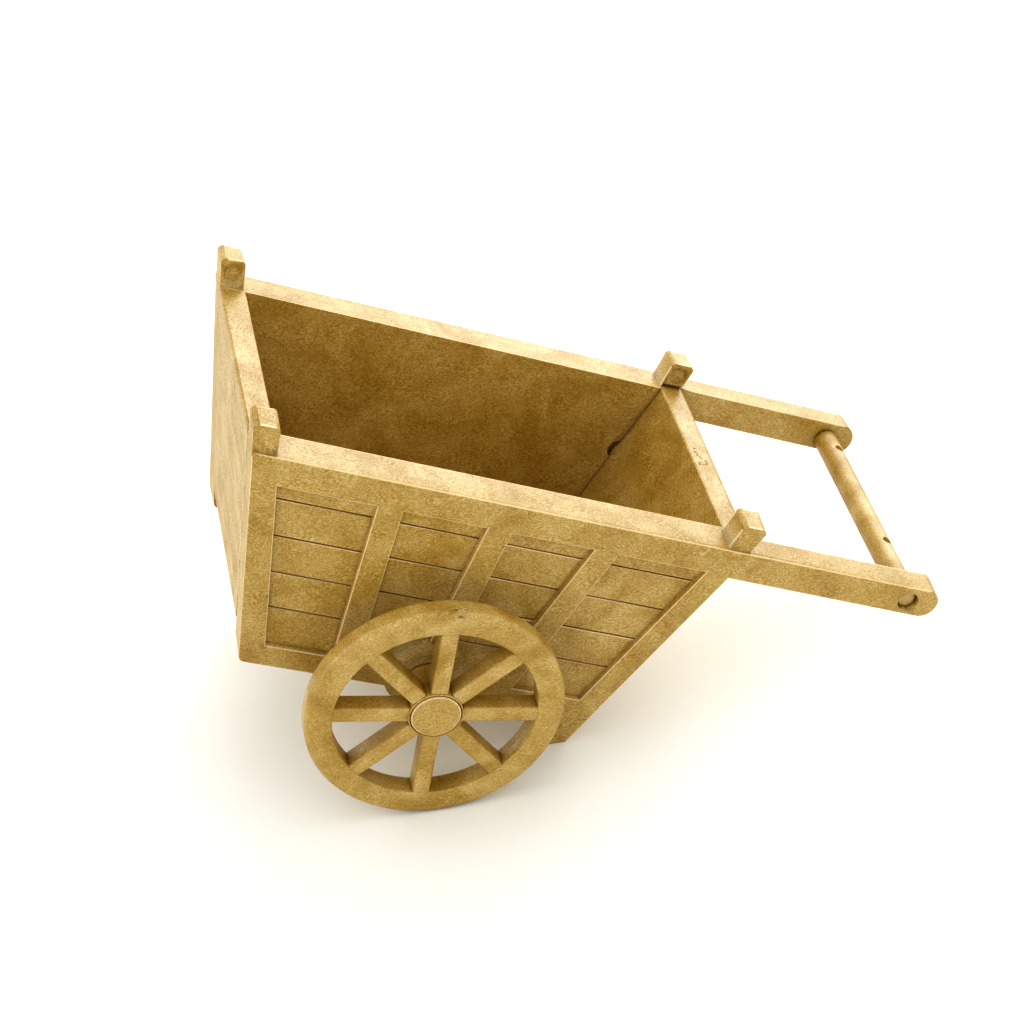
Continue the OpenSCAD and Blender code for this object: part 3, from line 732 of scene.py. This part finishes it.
class CART_OT_stage(bpy.types.Operator):
    """Set up the pale floor, the soft lights and the camera"""
    bl_idname = "cart.stage"
    bl_label = "Stage"

    def execute(self, context):
        scene = context.scene
        looks = scene.cart_stage
        scene.view_settings.view_transform = "Standard"
        scene.view_settings.look = "High Contrast"

        mesh = bpy.data.meshes.new("stage_floor")
        corners = [(x * FLOOR_REACH, y * FLOOR_REACH, 0)
                   for x, y in ((-1, -1), (1, -1), (1, 1), (-1, 1))]
        mesh.from_pydata(corners, [], [(0, 1, 2, 3)])
        floor = bpy.data.objects.new("stage_floor", mesh)
        scene.collection.objects.link(floor)
        mesh.materials.append(floor_finish(looks.floor))

        world = bpy.data.worlds.new("surround")
        world.use_nodes = True
        sky = world.node_tree.nodes["Background"]
        sky.inputs["Color"].default_value = (1.0, 1.0, 1.0, 1.0)
        sky.inputs["Strength"].default_value = looks.surround
        scene.world = world

        for (name, place, width), power in zip(LAMPS, (looks.key, looks.fill, looks.sheen)):
            lamp(name, place, width, power)

        camera = bpy.data.cameras.new("camera")
        camera.lens = looks.lens
        camera.sensor_width = 36.0
        camera.clip_start = 0.01
        camera.clip_end = 50.0
        viewer = bpy.data.objects.new("camera", camera)
        viewer.location = CAMERA_PLACE
        viewer.rotation_euler = [math.radians(angle) for angle in CAMERA_TURN]
        scene.collection.objects.link(viewer)
        scene.camera = viewer
        return {"FINISHED"}


def lamp(name, place, width, power):
    """A large square light turned towards the cart."""
    data = bpy.data.lights.new(name, "AREA")
    data.shape = "SQUARE"
    data.size = width
    data.energy = power
    light = bpy.data.objects.new(name, data)
    light.location = place
    aim = Vector((0, 0, 0.02)) - Vector(place)
    light.rotation_euler = aim.to_track_quat("-Z", "Y").to_euler()
    bpy.context.scene.collection.objects.link(light)


def floor_finish(colour):
    """A matt floor with a barely darker mottle."""
    material = bpy.data.materials.new("pale_floor")
    material.use_nodes = True
    tree = material.node_tree
    shader = tree.nodes["Principled BSDF"]
    where = add(tree, "ShaderNodeTexCoord", (-900, 0))
    mottle = add(tree, "ShaderNodeTexNoise", (-700, 0), {"Scale": 14.0})
    wire(tree, where.outputs["Object"], mottle.inputs["Vector"])
    darker = [c * 0.985 for c in colour]
    tone = add(tree, "ShaderNodeMix", (-300, 0), {"A": (*colour, 1.0), "B": (*darker, 1.0)},
               data_type="RGBA")
    wire(tree, mottle.outputs["Fac"], tone.inputs["Factor"])
    wire(tree, tone.outputs["Result"], shader.inputs["Base Color"])
    shader.inputs["Roughness"].default_value = 0.9
    shader.inputs["Specular IOR Level"].default_value = 0.2
    return material


class CART_PT_panel(bpy.types.Panel):
    """Sizes, colours and building steps of the hand cart"""
    bl_idname = "CART_PT_panel"
    bl_label = "Hand Cart"
    bl_space_type = "VIEW_3D"
    bl_region_type = "UI"
    bl_category = "Hand Cart"

    def draw(self, context):
        column = self.layout.column()
        scene = context.scene
        for group in (scene.cart_sizes, scene.cart_colours, scene.cart_stage):
            for name in group.__annotations__:
                column.prop(group, name)
            column.separator()
        for operator in STEPS:
            column.operator(operator.bl_idname)


STEPS = (CART_OT_side_panels, CART_OT_end_boards, CART_OT_floor_board, CART_OT_wheels,
         CART_OT_wheel_pins, CART_OT_grip_bar, CART_OT_stage)
CLASSES = (CartSizes, CartColours, CartStage) + STEPS + (CART_PT_panel,)


def register():
    for item in CLASSES:
        bpy.utils.register_class(item)
    bpy.types.Scene.cart_sizes = PointerProperty(type=CartSizes)
    bpy.types.Scene.cart_colours = PointerProperty(type=CartColours)
    bpy.types.Scene.cart_stage = PointerProperty(type=CartStage)


def unregister():
    del bpy.types.Scene.cart_stage
    del bpy.types.Scene.cart_colours
    del bpy.types.Scene.cart_sizes
    for item in reversed(CLASSES):
        bpy.utils.unregister_class(item)


def main():
    register()
    bpy.ops.cart.side_panels()
    bpy.ops.cart.end_boards()
    bpy.ops.cart.floor_board()
    bpy.ops.cart.wheels()
    bpy.ops.cart.wheel_pins()
    bpy.ops.cart.grip_bar()
    bpy.ops.cart.stage()


if __name__ == "__main__":
    main()
